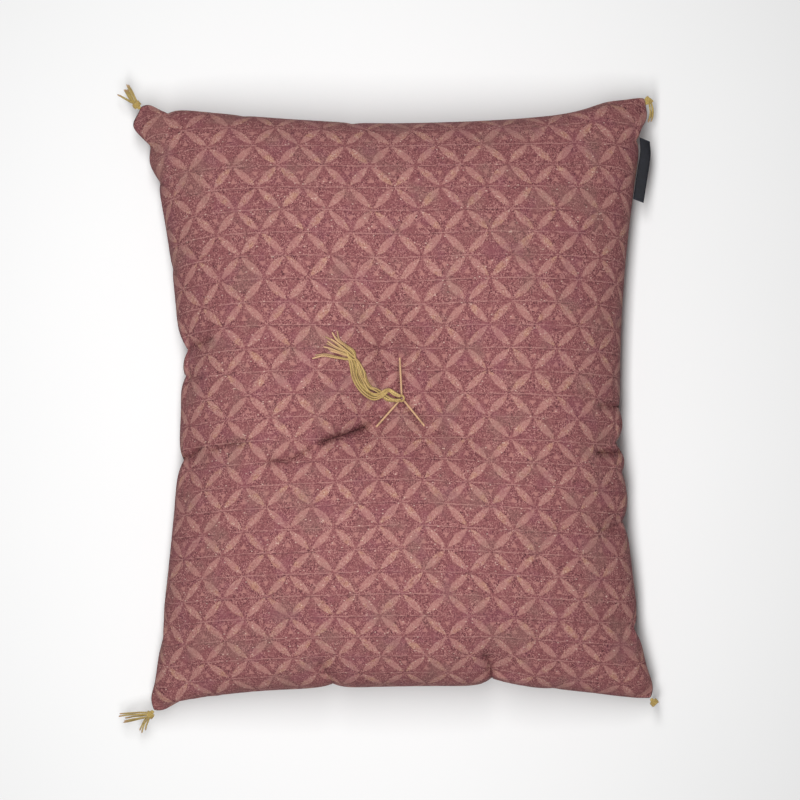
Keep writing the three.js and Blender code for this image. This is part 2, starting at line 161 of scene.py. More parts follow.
# Fine creases of the crown as paths in pixels of the photograph: depth, half width, and the depth and
# half width of the soft hollow round each.
FINE_CREASES = [
    ([(376, 422), (367, 425.7), (357, 430), (346, 434), (330, 439), (313, 446)], 13.0, 1.8, 3.0, 9),
    ([(318, 444), (304, 452), (291, 459.4), (280, 461), (258, 462)], 5.0, 1.7, 2.0, 8),
    ([(172, 459.5), (181, 458.4), (190.5, 456), (196, 452.2), (204, 445)], 8.0, 1.7, 1.2, 7),
    ([(201, 453), (210, 451), (219, 447), (234, 444), (250, 443)], 4.5, 1.7, 1.6, 7),
    ([(178, 351), (187, 348), (196.5, 344), (204, 341), (216, 337)], 6.0, 2.0, 2.6, 8),
    ([(178, 376), (187, 376), (196, 376.5), (206, 376)], 3.5, 1.8, 1.0, 6),
    ([(596, 405), (609, 406), (626, 407)], 7.0, 1.7, 1.0, 6),
    ([(594, 452), (608, 453.5), (626, 452)], 11.0, 1.8, 1.4, 7),
    ([(596, 532), (611, 528), (632, 519)], 4.5, 1.9, 1.2, 7),
    ([(493.5, 687), (492.5, 677), (490, 664), (482, 650)], 6.0, 2.0, 2.0, 9),
    ([(334, 691), (331, 682), (325, 672), (317, 658)], 4.5, 2.0, 1.6, 8),
    ([(425, 420), (441, 431), (462, 436), (492, 440)], 3.0, 2.2, 1.4, 10),
    ([(390, 385), (384, 366), (374, 340)], 2.4, 2.4, 1.2, 12),
]

# The furrow under each arm of the stitch, with the same four sizes as a fine crease.
ARM_FURROW = (5.0, 1.8, 1.0, 5)

# The cloth gathers onto a crease by SNAP_SHARE of the way within the first distance, and not past the
# second. It is in a tuck if it moved by more than TUCKED of the way, on a crease deeper than SHALLOW.
SNAP_WITHIN = 1.2
SNAP_REACH = 3.4
SNAP_SHARE = 0.9
TUCKED = 0.2
SHALLOW = 3.5
CREASE_TAPER = 0.22
CREASE_STEP = 3.0

# Points of a smooth curve between two of its control points.
CURVE_SAMPLES = 24

# The woven pattern: circles that overlap in a quarter turn, so that four petals meet at each point. The
# sizes are millimetres of flat cloth. Rows of meeting points alternate: a triangle stands over the middle
# of each gap in one kind of row, and hangs under it in the other.
REPEAT = 42.9
REPEAT_ALONG = 41.6
PATTERN_AT = (22.6, 11.4)
DIAGONAL = REPEAT / math.sqrt(2)
PETAL_HALF_LENGTH = 13.4
PETAL_HALF_WIDTH = 3.5
TRIANGLE_UP = 6.6
TRIANGLE_DOWN = 8.3

# The cells of the thread and of the second one, with where that starts, and how far edges and rows wander.
PICK = (1.0, 0.8, 1.0)
SECOND_PICK = (0.7, 1.3, 1.0)
SECOND_SHIFT = (40.0, 90.0, 0.0)
RAGGED_BY = 0.7
ROW_WANDERS_BY = 1.6
TRIANGLE_SLOPE = 0.62
TRIANGLE_HALF_BASE = 1.5
TRIANGLE_FOOT = 2.0
DARK_LINE_BELOW = 1.1

# The stretch of streaks and slubs, the shares of both threads and both slubs in the flecks, and the heights
# in millimetres of thread, petals, lines and both slubs.
STREAK_STRETCH = (0.22, 1.2, 1.0)
SLUB_ACROSS = (0.16, 1.0, 1.0)
SLUB_ALONG = (1.0, 0.2, 1.0)
FLECK_SHARES = (0.55, 0.4, 0.22, 0.18)
WEAVE_HEIGHTS = (0.12, 0.16, 0.10, 0.3, 0.2)
PURPLE_SHIFT = (900.0, 400.0, 0.0)
RARE_CELL = (1.5, 0.9, 1.0)
GROUND_DEEP = colour(70, 36, 42)
GROUND = colour(126, 74, 76)
GROUND_LIGHT = colour(174, 126, 120)
PETAL = colour(158, 108, 103)
PETAL_WARM = colour(162, 115, 99)
PETAL_DARK = colour(104, 60, 62)
LINE = colour(172, 126, 120)
GREY_TINT = colour(124, 98, 89)
PURPLE_TINT = colour(124, 68, 84)
SLUB = colour(204, 176, 162)

# Thread of the stitch, the tassel and the tufts: three plies twisted together, in rings of points. A cut end
# has END_SHARE of the radius and END_GROWTH more at each step. UPRIGHT is the cosine of a steep start.
THREAD_RADIUS = 0.85
THREAD_STEP = 0.9
PLY_PITCH = 6.5
PLIES = 3
RING = 12
PLY_DEPTH = 0.17
END_SHARE = 0.55
END_GROWTH = 0.3
UPRIGHT = 0.9
THREAD_LIGHT = colour(212, 188, 110)
THREAD_DARK = colour(146, 118, 56)
THREAD_PALE = colour(214, 170, 136)
# THREAD_PAINTED_SHADE is painted shade: the colour laid into the plies' grooves and onto the strands that
# lie under others.
THREAD_PAINTED_SHADE = colour(84, 58, 26)
TINT_SHARES = (0.6, 0.5)

# The camera hangs straight above. Its middle is a point of the plan, and pixels are those of the 800 x 800
# photograph.
VIEW_SIZE = 800
VIEW_MIDDLE = (4.81, 2.886)
VIEW_HEIGHT = 1900
VIEW_FOCAL = 1932.4
SENSOR = 36
VIEW_CLIP = (0.05, 50)

# A height in millimetres above all that lies on the cushion.
ABOVE_ALL = 400

# The tassel's two bundles, over and under, from the knot to the neck: pixels and half width. The upper one
# turns down and back over the other.
TASSEL_OVER = [
    (401.0, 396.5, 1.4), (395.0, 393.4, 2.0), (389.2, 390.4, 2.4), (385.4, 391.8, 2.8),
    (381.0, 395.4, 3.2), (374.0, 396.6, 3.4), (366.8, 392.2, 3.8), (360.2, 384.8, 4.8),
    (356.0, 376.0, 5.0), (354.4, 368.0, 4.8), (352.6, 361.0, 4.0),
]
TASSEL_UNDER = [
    (401.0, 399.5, 1.2), (394.5, 400.2, 2.0), (387.5, 398.4, 2.2), (381.5, 393.0, 2.6),
    (375.5, 389.6, 2.4), (369.8, 387.2, 2.0), (365.0, 380.5, 2.8), (362.8, 373.0, 3.0),
    (360.2, 366.2, 2.4), (356.8, 360.4, 1.6),
]

# The strands' tips from the right of the fan to its left: pixels, and how far the strand bows to the right
# of a straight line at a quarter and at three quarters of the way.
UNDER_TIPS = [
    (337.2, 330.9, 4.2, -2.6), (332.1, 332.2, 3.4, -1.4), (333.4, 335.2, 1.8, 0.2),
    (330.6, 338.6, 0.4, 0.6), (325.2, 336.6, -1.2, 0.8),
]
OVER_TIPS = [
    (327.4, 341.0, 5.4, 1.2), (326.4, 343.2, 4.6, 1.4), (323.3, 346.7, 3.6, 1.8),
    (328.3, 349.4, 2.4, 1.4), (330.4, 351.2, 2.0, 1.0), (315.2, 355.4, 0.6, 2.4),
    (312.1, 358.6, 0.4, 3.0),
]
TASSEL_SEED = 11
TASSEL_KNOT = (401.5, 398.3)

# How far the upper strands of a bundle lie above its lower ones, how far the knot lifts its first stations,
# and how far the upper bundle rises over the lower one, between the stations of the span.
TASSEL_LAYER = 1.7
TASSEL_LIFT = 1.9
LIFTED_STATIONS = 2
OVER_LIFT = 2.2
OVER_SPAN = (3, 7)

# Each bundle's route, tips, which of its strands is the first upper one, and its rise over the other.
BUNDLES = [(TASSEL_UNDER, UNDER_TIPS, 1, 0.0), (TASSEL_OVER, OVER_TIPS, 0, OVER_LIFT)]

# How unevenly strands lie: sideways in pixels, and upwards in millimetres in a bundle and in the fan.
STRAND_INSET = 0.8
STRAND_WANDER = 0.7
LOOSE_IN_BUNDLE = (0, 0.5)
LOOSE_IN_FAN = (0.1, 0.9)
# Strands of the lower layer are darkened by this share with painted shade, as if shadowed by the upper ones.
LOWER_PAINTED_SHADE = 0.35

# The loop of thread at the knot: half sizes, angles, free end, height above the bundle and radius.
LOOP_SIZE = (2.3, 2.7, 0.5)
LOOP_ANGLES = (-130, 131, 20)
LOOP_END = (-6.0, 3.2, -0.6)
LOOP_LIFT = 1.4
LOOP_RADIUS = 1.05

# The stitch: how much thicker its thread is, the first and last share of an arm with its number of points,
# and its height at the knot. It rests past one part in ARM_RESTS of its length, and dives out and down.
ARM_THICKNESS = 1.25
ARM_SHARES = (0.03, 1, 7)
ARM_LIFT = 1.0
ARM_RESTS = 3
ARM_DIVE = (1.6, 1.8)
# The share by which the stitch's arms turn towards the pale pinkish colour: a painted pinkish reflection.
ARM_PAINTED_REFLECTION = 0.8

# Corner tufts: corner, strands, heading in plan and its turn, dip below level and its droop, length, fan.
TUFTS = [
    ("top_left", 5, 124, -4, 8, 26, 25, 3),
    ("top_left", 2, 152, -8, 10, 24, 26, 5),
    ("bottom_left", 5, 188, 6, 8, 26, 34, 3),
    ("bottom_left", 3, 236, 16, 12, 30, 25, 9),
    ("top_right", 4, -58, -50, 20, 46, 27, 3),
    ("bottom_right", 6, -48, -6, 68, 22, 24, 6),
]
TUFT_STEPS = 6
TUFT_WANDER = 5
TUFT_UNEVEN = 0.08
LANE = 2.2
LAYER = 2.1

# The knot of a tuft: how far out it lies, its wraps, the points and the shape of one, and its length.
KNOT_OUT = 3.4
KNOT_TURNS = 3
KNOT_POINTS = 14
KNOT_RADIUS = 3.1
KNOT_SHAPE = (1.1, 0.85)
KNOT_LENGTH = 4.6
KNOT_THREAD = 0.95

# The two threads from the cover into the knot: how far in and out they run, how far apart, and the share of
# that at their start.
ROOT_RUN = (5.0, 2)
ROOT_APART = 1.2
ROOT_CLOSER = 0.4
ROOT_THREAD = 1.3

# The tab in the right side seam: its ends along the side, how far it stands out, and its cloth.
TAB_FROM = 195
TAB_TO = 254
TAB_REACH = 10.4
TAB_GAP = 0.35
TAB_SLANT = 3
TAB_CLOTH = 0.45

# Half the opening of the tab's fold, how square it is, the inner skin's share of it, and the waves in which
# the free edge curls: size and turn.
TAB_LOFT = 0.55
TAB_SQUARE = 6
TAB_INNER = 0.35
TAB_CURLS = ((0.5, 5.3), (0.3, 11))
TAB_CELLS = 40
TAB_SECTION = 26

# The tab's weave: the pitch of its ribs, the cell of its threads, both edges of its selvedge, and heights of
# all three.
TAB_RIB = 0.55
TAB_PICK = (0.5, 0.4, 1.0)
TAB_SELVEDGE = (1.6, 1.1)
TAB_HEIGHTS = (0.05, 0.05, 0.1)
TAB_DARK = colour(8, 9, 15)
TAB_LIGHT = colour(22, 24, 35)
TAB_EDGE = colour(40, 43, 56)

# The studio in metres: a soft box above with its watts, faint light all round and a floor of pale paper.
BOX_PLACE = (-0.09, 0.0, 1.35)
BOX_SIZE = (0.3, 1.6)
BOX_POWER = 25.4
AMBIENT = 0.15
FLOOR_HALF = 4.0
PAPER_DARK = colour(228, 228, 228)
PAPER_LIGHT = colour(232, 232, 232)


def as_unit(value):
    return np.clip(value, -1, 1)


def bump(distance, width):
    return np.exp(-((distance / width) ** 2))


def lerp(start, end, share):
    return start + (end - start) * share


def side_length(name):
    start, end = (np.array(CORNERS[corner]) for corner in SIDES[name][:2])
    return float(np.linalg.norm(end - start))


def edge_points(name, share):
    """Points of a side's drawn-in edge, for shares 0 to 1 of the way between its corners."""
    first, last, inward, sag, powers = SIDES[name]
    from_middle = 2 * share - 1
    drawn_in = sag * (1 - np.abs(from_middle) ** np.where(from_middle < 0, *powers))
    straight = lerp(np.array(CORNERS[first]), np.array(CORNERS[last]), share[..., None])
    return straight + drawn_in[..., None] * np.array(inward)


def place_at_side(name, u, v):
    """How far along a side, from its middle, and how far inside it a point of the panel lies."""
    lengthwise = name in ("left", "right")
    along = v if lengthwise else u
    inside = {"bottom": v, "top": 1 - v, "left": u, "right": 1 - u}[name]
    across = side_length("bottom" if lengthwise else "left")
    return (along - 0.5) * side_length(name), inside * across


def plan_points(u, v, forms=EDGE_FORMS):
    """The plan of the panel: four drawn-in sides blended over it, with tucks, swellings and soft corners."""
    uu, vv = u[..., None], v[..., None]
    corner = {name: np.array(place, float) for name, place in CORNERS.items()}
    points = edge_points("bottom", u) * (1 - vv) + edge_points("top", u) * vv
    points += edge_points("left", v) * (1 - uu) + edge_points("right", v) * uu
    points -= corner["bottom_left"] * (1 - uu) * (1 - vv) + corner["bottom_right"] * uu * (1 - vv)
    points -= corner["top_left"] * (1 - uu) * vv + corner["top_right"] * uu * vv
    for name, places in forms.items():
        along, inside = place_at_side(name, u, v)
        for at, depth, width, run, _ in places:
            push = depth * bump(along - at, width) * np.exp(-inside / run)
            points += push[..., None] * np.array(SIDES[name][2])
    for tip in corner.values():
        distance = np.linalg.norm(points - tip, axis=-1)
        near = np.maximum(0, 1 - distance / CORNER_REACH) ** 2
        points -= (CORNER_PULL * near / np.linalg.norm(tip))[..., None] * tip
    return points


def press_cusps(points, shares):
    """Draws the sewn edge in to a sharp notch at each cusp, or out to a swelling, fading inwards."""
    u, v = shares[:, 0], shares[:, 1]
    for name, places in CUSPS.items():
        along, inside = place_at_side(name, u, v)
        for at, depth, width in places:
            shape = np.exp(-np.abs(along - at) / width) if depth > 0 else bump(along - at, width)
            push = depth * shape * np.exp(-inside / CUSP_RUN)
            points[:, :2] += push[:, None] * np.array(SIDES[name][2])
    return points


def fullness(u, v, powers):
    across, along = as_unit(2 * u - 1), as_unit(2 * v - 1)
    return (1 - across**2) ** powers[0] * (1 - along**2) ** powers[1]


def inside_edge(u, v):
    """0 on the sewn edge and 1 a little way inside it."""
    return np.minimum(1, EDGE_FADE * fullness(u, v, EDGE_POWERS))


def seam_height(u, v):
    towards_corner = np.abs((2 * u - 1) * (2 * v - 1)) ** SEAM_POWER
    return lerp(SEAM_MIDDLE, SEAM_CORNER, towards_corner)


def from_line(points, start, end):
    """The share along a line and the signed distance from it, for points of the plan."""
    start, end = np.array(start, float), np.array(end, float)
    run = end - start
    offset = points - start
    share = np.clip(offset @ run / (run @ run), 0, 1)
    away = offset - share[..., None] * run
    side = np.sign(run[0] * away[..., 1] - run[1] * away[..., 0])
    return share, side * np.linalg.norm(away, axis=-1)


def arm_end(heading, length):
    angle = math.radians(heading)
    return np.array(TIE) + length * np.array([math.cos(angle), math.sin(angle)])


def from_tie(points):
    return np.linalg.norm(points - np.array(TIE), axis=-1)


def smooth_crown(u, v, points):
    """The crown's height without its creases, pits and tucks."""
    depth, radius, power = CROWN_FUNNEL
    lowered = depth * np.exp(-((from_tie(points) / radius) ** power))
    full = fullness(u, v, CROWN_POWERS)
    return seam_height(u, v) + CROWN_RISE * full - inside_edge(u, v) * lowered


def crown_height(u, v, points):
    lowered = np.zeros(np.shape(u))
    for arm in ARMS:
        lowered += ARM_PIT[0] * bump(np.linalg.norm(points - arm_end(*arm), axis=-1), ARM_PIT[1])
    for start, end, first_depth, last_depth, width in CREASES:
        share, away = from_line(points, start, end)
        lowered += lerp(first_depth, last_depth, share) * bump(away, width)
    for name, places in EDGE_FORMS.items():
        along, inside = place_at_side(name, u, v)
        for at, _, width, run, trough in places:
            reached = inside / (TROUGH_REACH * run)
            lowered += trough * bump(along - at, width) * (reached * np.exp(1 - reached)) ** 2
    return smooth_crown(u, v, points) - inside_edge(u, v) * lowered


def belly_height(u, v, points):
    depth, radius, power = BELLY_FUNNEL
    raised = depth * np.exp(-((from_tie(points) / radius) ** power))
    hanging = seam_height(u, v) - BELLY_FALL * fullness(u, v, BELLY_POWERS)
    return np.maximum(0, hanging + inside_edge(u, v) * raised)


def surface(height, u, v, forms=EDGE_FORMS):
    points = plan_points(u, v, forms)
    return np.concatenate([points, height(u, v, points)[..., None]], axis=-1)


def run_along(line):
    """How far along a line each of its points lies."""
    return np.concatenate([[0], np.cumsum(np.linalg.norm(np.diff(line, axis=0), axis=1))])


def even_shares(height, across, along):
    """Shares of the panel at which its cloth is evenly spread both ways over the smooth form."""
    fine = (1 - np.cos(np.linspace(0, math.pi, EVEN_SAMPLES))) / 2
    u = np.empty((len(across), len(along)))
    v = np.empty_like(u)
    for j, share in enumerate(along):
        run = run_along(surface(height, fine, np.full(EVEN_SAMPLES, share), {}))
        u[:, j] = np.interp(across * run[-1], run, fine)
    for i, share in enumerate(across):
        run = run_along(surface(height, np.full(EVEN_SAMPLES, share), fine, {}))
        v[i] = np.interp(along * run[-1], run, fine)
    return u, v


def even_panel(height, smooth):
    """Points of a panel, and the shares across and along it that each stands for."""
    across = np.linspace(0, 1, CELLS_ACROSS + 1)
    along = np.linspace(0, 1, CELLS_ALONG + 1)
    u, v = even_shares(smooth, across, along)
    return surface(height, u, v), np.stack([u, v, np.zeros_like(u)], axis=-1)


def drifted(flat):
    """Where the weave of the cut cloth lies, for points of the cloth."""
    across, along = flat[..., 0] * 2 / CLOTH_WIDTH, flat[..., 1] * 2 / CLOTH_LENGTH
    drift = [
        sum(size * across**i * along**j for (i, j), size in powers.items())
        for powers in (DRIFT_ACROSS, DRIFT_ALONG)
    ]
    return flat + np.stack(drift, axis=-1)


def sewn_panels():
    """Points of both panels with a shared sewn edge, their faces, and where each lies on cloth and panel."""
    crown, crown_shares = even_panel(crown_height, smooth_crown)
    belly, belly_shares = even_panel(belly_height, belly_height)
    across = np.linspace(-CLOTH_WIDTH / 2, CLOTH_WIDTH / 2, CELLS_ACROSS + 1)
    along = np.linspace(-CLOTH_LENGTH / 2, CLOTH_LENGTH / 2, CELLS_ALONG + 1)
    flat = np.stack(np.meshgrid(across, along, indexing="ij"), axis=-1)
    on_edge = np.ones(flat.shape[:2], bool)
    on_edge[1:-1, 1:-1] = False
    top = np.arange(on_edge.size).reshape(on_edge.shape)
    bottom = top.copy()
    bottom[~on_edge] = on_edge.size + np.arange((~on_edge).sum())
    points = np.concatenate([crown.reshape(-1, 3), belly[~on_edge]])
    level = np.concatenate([np.where(on_edge, 0, 1).ravel(), -np.ones((~on_edge).sum())])
    cloth = np.concatenate([flat.reshape(-1, 2), flat[~on_edge]])
    cloth = np.concatenate([cloth, level[:, None]], axis=1)
    shares = np.concatenate([crown_shares.reshape(-1, 3), belly_shares[~on_edge]])
    faces = []
    for panel, turn in ((top, 1), (bottom, -1)):
        cells = [panel[:-1, :-1], panel[1:, :-1], panel[1:, 1:], panel[:-1, 1:]][::turn]
        faces.append(np.stack([cell.ravel() for cell in cells], axis=1))
    return points, np.concatenate(faces), cloth, shares


def placed(name, data):
    piece = bpy.data.objects.new(name, data)
    bpy.context.scene.collection.objects.link(piece)
    return piece


def mesh_object(name, points, faces, **attributes):
    """A smooth-shaded mesh in the row frame from plan millimetres, with its attributes at its points."""
    mesh = bpy.data.meshes.new(name)
    mesh.from_pydata((np.asarray(points) + PLAN_SHIFT) * MM, [], [tuple(map(int, f)) for f in faces])
    for key, values in attributes.items():
        layer = mesh.attributes.new(key, "FLOAT_VECTOR", "POINT")
        layer.data.foreach_set("vector", np.asarray(values, np.float32).ravel())
    mesh.update()
    mesh.shade_smooth()
    return placed(name, mesh)


def rows(items, key, width=3, kind=np.float32):
    """A row of values for each item of a mesh."""
    values = np.empty(width * len(items), kind)
    items.foreach_get(key, values)
    return values.reshape(-1, width)


def mesh_points(mesh):
    return rows(mesh.vertices, "co") / MM - PLAN_SHIFT


def settle_cloth(points, faces, cloth):
    """Fills the two flat cut panels with air until they lie on the filled form, as Blender's cloth."""
    cut = cloth * (1, 1, 2) + (0, 0, SEAM_MIDDLE)
    piece = mesh_object("panels", cut, faces)
    piece.shape_key_add(name="cut")
    filled = piece.shape_key_add(name="filled")
    filled.data.foreach_set("co", ((points + PLAN_SHIFT) * MM).ravel())
    for frame_number, value in ((1, 0), (FILL_FRAMES, 1)):
        filled.value = value
        filled.keyframe_insert("value", frame=frame_number)
    hold = piece.vertex_groups.new(name="hold")
    for chosen, weight in ((cloth[:, 2] == 0, HOLD_SEAM), (cloth[:, 2] != 0, HOLD_PANEL)):
        hold.add(np.flatnonzero(chosen).tolist(), weight, "REPLACE")
    modifier = piece.modifiers.new("settle", "CLOTH")
    settings = modifier.settings
    for name, value in CLOTH_SETTINGS.items():
        setattr(settings, name, value)
    settings.vertex_group_mass = hold.name
    settings.effector_weights.gravity = 0
    modifier.collision_settings.use_collision = False
    last = FILL_FRAMES + SETTLE_FRAMES
    modifier.point_cache.frame_end = last
    scene = bpy.context.scene
    scene.frame_start, scene.frame_end = 1, last
    for frame_number in range(1, last + 1):
        scene.frame_set(frame_number)
    settled = piece.evaluated_get(bpy.context.evaluated_depsgraph_get())
    moved = mesh_points(settled.data) - points
    bpy.data.objects.remove(piece)
    scene.frame_set(1)
    distance = np.linalg.norm(moved, axis=1, keepdims=True)
    return points + moved * np.minimum(1, SETTLE_CAP / np.maximum(distance, 1e-6))


def smooth_path(controls, step):
    """Points about a step apart along a Catmull-Rom curve through the control points."""
    controls = np.asarray(controls, float)
    ends = np.concatenate([[2 * controls[0] - controls[1]], controls, [2 * controls[-1] - controls[-2]]])
    pieces = []
    share = np.linspace(0, 1, CURVE_SAMPLES, endpoint=False)[:, None]
    for a, b, c, d in zip(ends, ends[1:], ends[2:], ends[3:]):
        curve = 2 * b + (c - a) * share + (2 * a - 5 * b + 4 * c - d) * share**2
        pieces.append((curve + (3 * b - a - 3 * c + d) * share**3) / 2)
    path = np.concatenate(pieces + [controls[-1:]])
    run = run_along(path)
    even = np.linspace(0, run[-1], max(3, round(run[-1] / step)) + 1)
    return np.stack([np.interp(even, run, path[:, axis]) for axis in range(controls.shape[1])], axis=1)


def from_path(plan, path):
    """The share along a path, the way back to it and the distance from it, for each point of the plan."""
    best = np.full(len(plan), np.inf)
    share = np.zeros(len(plan))
    back = np.zeros_like(plan)
    runs = run_along(path)
    for i, (start, end) in enumerate(zip(path, path[1:])):
        run = end - start
        along = np.clip((plan - start) @ run / (run @ run), 0, 1)
        way = start + along[:, None] * run - plan
        distance = np.linalg.norm(way, axis=1)
        nearer = distance < best
        best[nearer] = distance[nearer]
        back[nearer] = way[nearer]
        share[nearer] = lerp(runs[i], runs[i + 1], along[nearer]) / runs[-1]
    return share, back, best


def smooth_step(value):
    value = np.clip(value, 0, 1)
    return value * value * (3 - 2 * value)


def press_creases(points, cloth, crown):
    """Tucks the cloth of the crown into the fine creases and under the arms of the stitch.

    Also tells which points are in a tuck.
    """
    upper = np.flatnonzero(cloth[:, 2] > 0)
    tucked = np.zeros(len(points), bool)
    paths = [([crown.at_pixel(*pixel) for pixel in pixels], *sizes) for pixels, *sizes in FINE_CREASES]
    paths += [([np.array(TIE), arm_end(*arm)], *ARM_FURROW) for arm in ARMS]
    for controls, depth, width, hollow, reach in paths:
        share, back, distance = from_path(points[upper, :2], smooth_path(controls, CREASE_STEP))
        whole = smooth_step(np.minimum(share, 1 - share) / CREASE_TAPER)
        pull = SNAP_SHARE * smooth_step((SNAP_REACH - distance) / (SNAP_REACH - SNAP_WITHIN)) * whole
        points[upper, :2] += back * pull[:, None]
        pressed = depth * np.exp(-distance * (1 - pull) / width) + hollow * bump(distance, reach)
        points[upper, 2] -= pressed * whole
        tucked[upper] |= (pull > TUCKED) & (depth > SHALLOW)
    return points, tucked


class Graph:
    """The nodes of one material, made one value after another."""

    def __init__(self, name):
        self.material = bpy.data.materials.new(name)
        self.material.use_nodes = True
        self.tree = self.material.node_tree
        self.shader = self.tree.nodes["Principled BSDF"]

    def feed(self, socket, value):
        if isinstance(value, bpy.types.NodeSocket):
            self.tree.links.new(value, socket)
        else:
            socket.default_value = value

    def node(self, kind, *inputs, named=None, **settings):
        made = self.tree.nodes.new("ShaderNode" + kind)
        for key, value in settings.items():
            setattr(made, key, value)
        for socket, value in zip(made.inputs, inputs):
            self.feed(socket, value)
        for key, value in (named or {}).items():
            self.feed(made.inputs[key], value)
        return made

    def math(self, operation, *inputs):
        return self.node("Math", *inputs, operation=operation).outputs[0]

    def total(self, values, weights):
        """The sum of the values, each times its weight."""
        result = 0.0
        for value, weight in zip(values, weights):
            result = self.math("MULTIPLY_ADD", value, weight, result)
        return result

    def wrap(self, value, period):
        """The value brought within half a period of 0."""
        return self.math("WRAP", value, period / 2, -period / 2)

    def vector(self, operation, *inputs):
        return self.node("VectorMath", *inputs, operation=operation).outputs[0]

    def attribute(self, name):
        vector = self.node("Attribute", attribute_name=name).outputs["Vector"]
        return vector, self.node("SeparateXYZ", vector).outputs

    def noise(self, vector, size, detail=2.0, rough=0.5):
        """Noise from 0 to 1 whose grains are about that size."""
        named = {"Vector": vector, "Scale": 1 / size, "Detail": detail, "Roughness": rough}
        return self.node("TexNoise", named=named).outputs[0]

    def white(self, vector):
        return self.node("TexWhiteNoise", vector, noise_dimensions="3D").outputs[0]

    def ramp(self, value, low, high, start=0.0, end=1.0):
        inputs = value, low, high, start, end
        return self.node("MapRange", *inputs, interpolation_type="SMOOTHSTEP").outputs[0]

    def blend(self, share, first, second):
        mix = self.node("Mix", data_type="RGBA")
        for place, value in ((0, share), (6, first), (7, second)):
            self.feed(mix.inputs[place], value)
        return mix.outputs[2]

    def tint(self, base, mask, share, shade):
        """The base turned towards a shade, by that share where the mask is 1."""
        return self.blend(self.math("MULTIPLY", mask, share), base, shade)

    def bump(self, height, strength):
        """A bump whose heights are in millimetres."""
        named = {"Height": height, "Strength": strength, "Distance": MM}
        return self.node("Bump", named=named).outputs[0]

    def finish(self, **values):
        for name, value in values.items():
            self.feed(self.shader.inputs[name.replace("_", " ")], value)
        return self.material


def petal_mask(g, x, y):
    """1 on the petals, which lie along both diagonals between the meeting points."""

    def turned(first, second, sign):
        """Across the diagonals, in millimetres from the middle between two rows of meeting points."""
        spread = g.math("MULTIPLY_ADD", second, sign, first)
        return g.wrap(g.math("MULTIPLY_ADD", spread, math.sqrt(0.5), -DIAGONAL / 2), DIAGONAL)

    def petal(lengthwise, sideways):
        off_axis = g.math("SUBTRACT", DIAGONAL / 2, g.math("ABSOLUTE", sideways))
        share = g.math("DIVIDE", lengthwise, PETAL_HALF_LENGTH)
        width = g.math("MULTIPLY_ADD", g.math("MULTIPLY", share, share), -PETAL_HALF_WIDTH, PETAL_HALF_WIDTH)
        return g.math("SUBTRACT", width, off_axis)

    rising, falling = turned(x, y, 1.0), turned(y, x, -1.0)
    return g.ramp(g.math("MAXIMUM", petal(rising, falling), petal(falling, rising)), -0.3, 0.3)


def triangle_mask(g, x, y):
    """1 on the small triangles, which stand over one kind of row and hang under the other."""

    def triangle(sideways, upright):
        """A small triangle on its base, its point towards +upright."""
        half_width = g.math("MULTIPLY_ADD", upright, -TRIANGLE_SLOPE, TRIANGLE_HALF_BASE)
        slope = g.math("SUBTRACT", half_width, g.math("ABSOLUTE", sideways))
        return g.math("MINIMUM", slope, g.math("ADD", upright, TRIANGLE_FOOT))

    standing = g.wrap(g.math("SUBTRACT", y, REPEAT / 2 + TRIANGLE_UP), REPEAT)
    hanging = g.math("MULTIPLY", g.wrap(g.math("ADD", y, TRIANGLE_DOWN), REPEAT), -1.0)
    between = g.wrap(g.math("SUBTRACT", x, REPEAT / 2), REPEAT)
    both = g.math("MAXIMUM", triangle(g.wrap(x, REPEAT), standing), triangle(between, hanging))
    return g.ramp(both, -0.5, 0.2)


def row_lines(g, cloth, along):
    """The broken pale line where the rows change, and the dark one below it."""
    from_row = g.wrap(g.math("SUBTRACT", along, PATTERN_AT[1]), REPEAT_ALONG / 2)
    wander = g.math("MULTIPLY_ADD", g.noise(cloth, 6.0, 2.0), ROW_WANDERS_BY, -ROW_WANDERS_BY / 2)
    from_row = g.math("ADD", from_row, wander)
    below = g.math("ADD", from_row, DARK_LINE_BELOW)
    streak = g.noise(g.vector("MULTIPLY", cloth, STREAK_STRETCH), 1.7, 3.0)
    pale = g.ramp(g.math("ABSOLUTE", from_row), 0.7, 0.25)
    pale = g.math("MULTIPLY", pale, g.ramp(streak, 0.40, 0.54))
    dark = g.ramp(g.math("ABSOLUTE", below), 0.9, 0.3)
    return pale, g.math("MULTIPLY", dark, g.ramp(streak, 0.52, 0.40))


